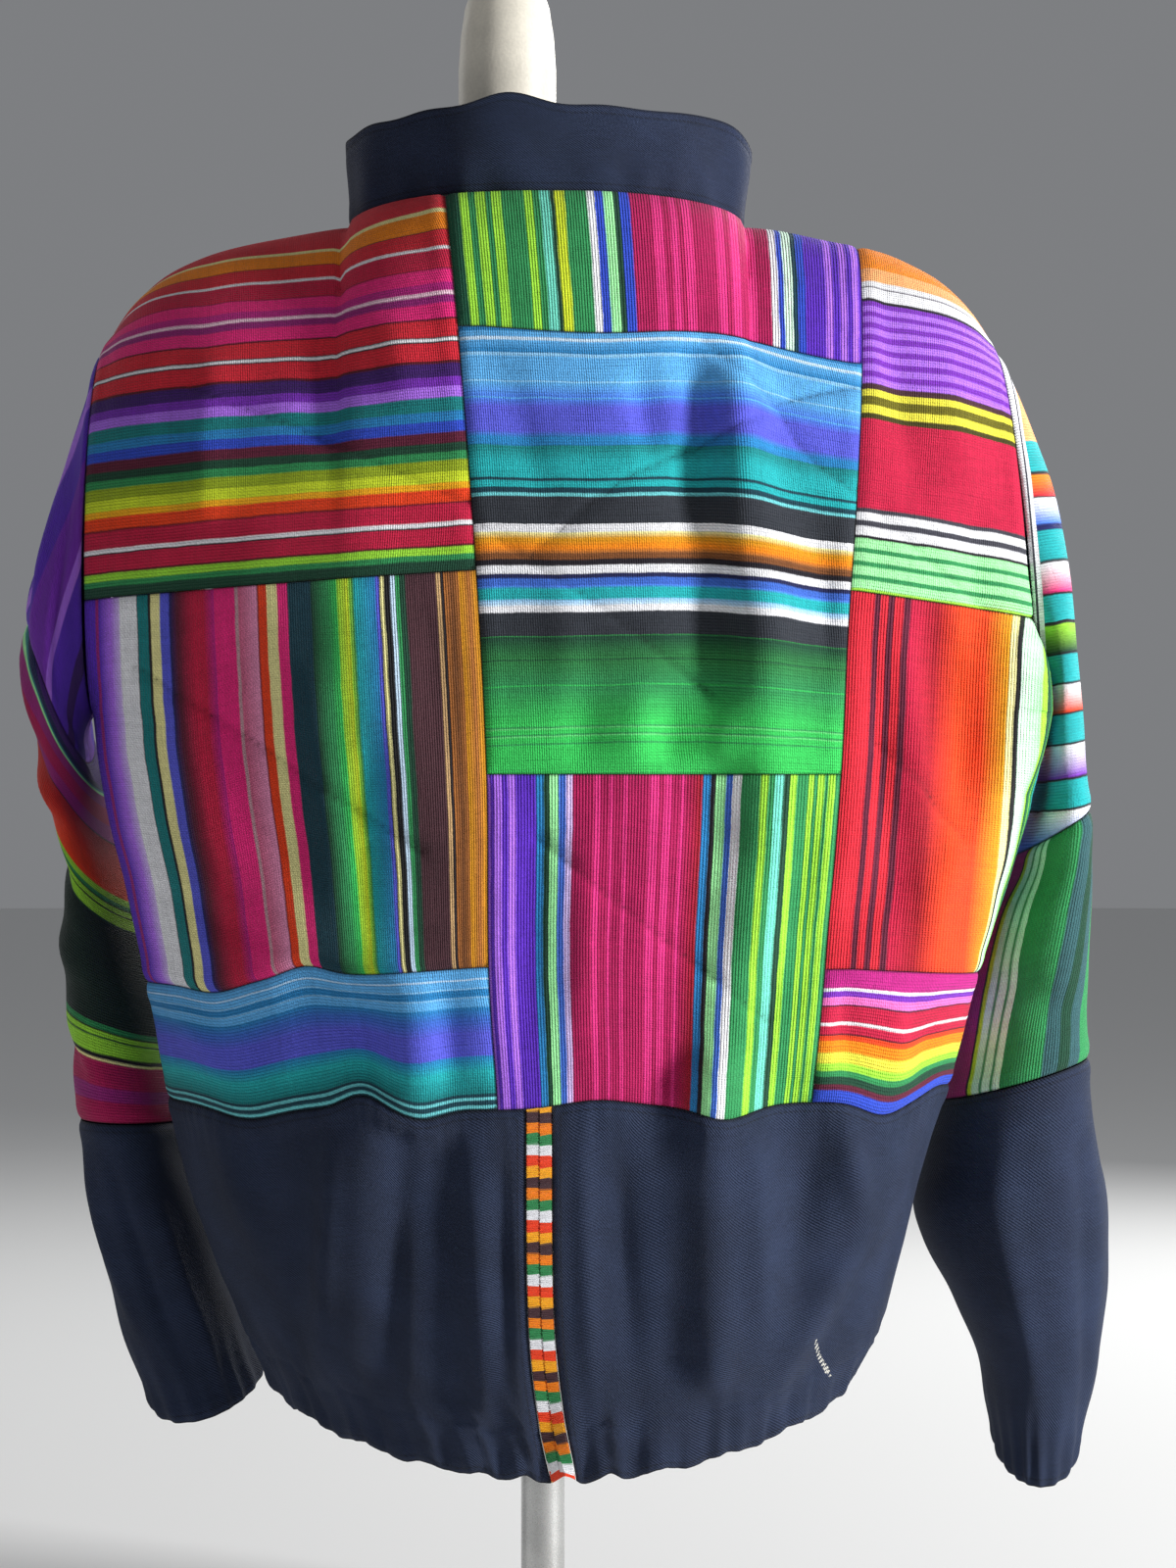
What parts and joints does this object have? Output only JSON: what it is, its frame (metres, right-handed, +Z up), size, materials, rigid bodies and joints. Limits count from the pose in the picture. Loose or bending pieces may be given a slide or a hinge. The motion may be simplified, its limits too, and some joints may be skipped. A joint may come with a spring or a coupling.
{
  "type": "patchwork jacket on a dress form",
  "caption": "Quilted blouson jacket of striped handwoven cotton patches with navy band, cuffs and stand collar, zipped up on a limbless dress form with a round base",
  "frame": {"origin": "centre of the underside of the form's base, the middle of the bounding box", "axes": "+Z up from the base to the neck knob, the front of the jacket with its zip faces +Y, its back faces -Y, and +X is the wearer's right side seen from behind"},
  "size_m": [0.5968, 0.2763, 0.946],
  "materials": {
    "left_upper": "striped handwoven cotton, machine quilted",
    "left_middle": "striped handwoven cotton, machine quilted",
    "left_lower": "striped handwoven cotton, machine quilted",
    "middle_upper": "striped handwoven cotton, machine quilted",
    "middle_middle": "striped handwoven cotton, machine quilted",
    "middle_lower": "striped handwoven cotton, machine quilted",
    "right_upper": "striped handwoven cotton, machine quilted",
    "right_middle": "striped handwoven cotton, machine quilted",
    "right_lower": "striped handwoven cotton, machine quilted",
    "front_upper": "striped handwoven cotton, machine quilted",
    "front_middle": "striped handwoven cotton, machine quilted",
    "front_lower": "striped handwoven cotton, machine quilted",
    "sleeve_left_upper": "striped handwoven cotton, machine quilted",
    "sleeve_left_middle": "striped handwoven cotton, machine quilted",
    "sleeve_right_upper": "striped handwoven cotton, machine quilted",
    "sleeve_right_middle": "striped handwoven cotton, machine quilted",
    "navy_canvas": "plain matt canvas",
    "satin_stitch": "glossy thread in short colour blocks",
    "zip_tape": "woven tape",
    "zip_metal": "dull brass",
    "form_cover": "smooth cream cover",
    "form_pole": "satin steel",
    "form_base": "cream paint"
  },
  "bodies": {
    "jacket_and_form": {"back_left_upper": "left_upper", "back_left_middle": "left_middle", "back_left_lower": "left_lower", "back_middle_upper": "middle_upper", "back_middle_middle": "middle_middle", "back_middle_lower": "middle_lower", "back_right_upper": "right_upper", "back_right_middle": "right_middle", "back_right_lower": "right_lower", "front_left_upper": "front_upper", "front_right_upper": "front_upper", "front_left_middle": "front_middle", "front_right_middle": "front_middle", "front_left_lower": "front_lower", "front_right_lower": "front_lower", "sleeve_left_upper": "sleeve_left_upper", "sleeve_left_middle": "sleeve_left_middle", "sleeve_right_upper": "sleeve_right_upper", "sleeve_right_middle": "sleeve_right_middle", "band_back_left": "navy_canvas", "band_back_right": "navy_canvas", "band_front_left": "navy_canvas", "band_front_right": "navy_canvas", "sleeve_left_lower": "navy_canvas", "sleeve_right_lower": "navy_canvas", "collar": "navy_canvas", "joining_stitches": "satin_stitch", "zip_tape_left": "zip_tape", "zip_tape_right": "zip_tape", "zip_slider": "zip_metal", "form_torso": "form_cover", "form_neck_knob": "form_cover", "form_pole": "form_pole", "form_base": "form_base"},
    "pull_tab": {"zip_pull_tab": "zip_metal"}
  },
  "joints": [
    {"name": "pull_tab_swing", "type": "hinge", "parent": "jacket_and_form", "child": "pull_tab", "pos_m": [-0.014, 0.10634, 0.73808], "axis": [1, 0, 0], "range_deg": [0, 150]}
  ]
}
